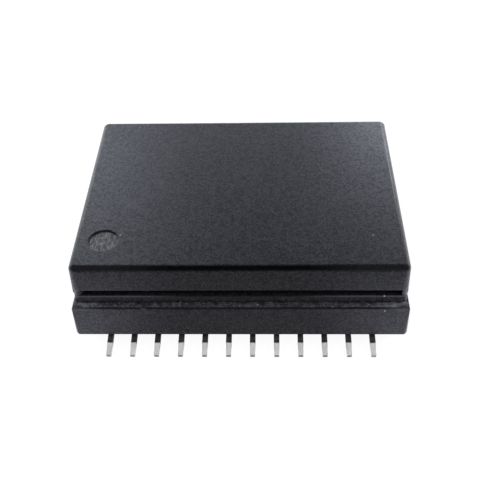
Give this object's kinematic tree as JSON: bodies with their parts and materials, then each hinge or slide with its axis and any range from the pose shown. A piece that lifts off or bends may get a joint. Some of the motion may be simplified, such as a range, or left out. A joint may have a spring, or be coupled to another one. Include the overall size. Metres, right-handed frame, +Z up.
{
  "type": "network isolation transformer",
  "caption": "Surface-mount network transformer: black moulded two-part case with gull-wing lead rows, holding wound ferrite rings that isolate and filter twisted-pair channels.",
  "frame": {"origin": "under the middle of the case, on the board that the toes of the leads stand on", "axes": "+X along the lead rows, -Y towards the front row with the first lead, +Z up out of the board"},
  "size_m": [0.0176, 0.015, 0.0055],
  "materials": {
    "case_plastic": "black moulded plastic with a fine spark-eroded grain",
    "lead_tin": "matt tin over copper alloy, dark above the dip line",
    "ferrite": "sintered dark grey ferrite, tumbled edges",
    "copper_wire": "enamelled copper wire",
    "green_wire": "green enamelled copper wire"
  },
  "bodies": {
    "root": {"cover": "case_plastic", "base": "case_plastic", "lead_01": "lead_tin", "lead_02": "lead_tin", "lead_03": "lead_tin", "lead_04": "lead_tin", "lead_05": "lead_tin", "lead_06": "lead_tin", "lead_07": "lead_tin", "lead_08": "lead_tin", "lead_09": "lead_tin", "lead_10": "lead_tin", "lead_11": "lead_tin", "lead_12": "lead_tin", "lead_13": "lead_tin", "lead_14": "lead_tin", "lead_15": "lead_tin", "lead_16": "lead_tin", "lead_17": "lead_tin", "lead_18": "lead_tin", "lead_19": "lead_tin", "lead_20": "lead_tin", "lead_21": "lead_tin", "lead_22": "lead_tin", "lead_23": "lead_tin", "lead_24": "lead_tin", "transformer_core_1": "ferrite", "transformer_core_2": "ferrite", "transformer_core_3": "ferrite", "transformer_core_4": "ferrite", "transformer_winding_1": "copper_wire", "transformer_winding_2": "copper_wire", "transformer_winding_3": "copper_wire", "transformer_winding_4": "copper_wire", "choke_core_1": "ferrite", "choke_core_2": "ferrite", "choke_core_3": "ferrite", "choke_core_4": "ferrite", "choke_winding_1": "green_wire", "choke_winding_2": "green_wire", "choke_winding_3": "green_wire", "choke_winding_4": "green_wire"}
  },
  "joints": []
}
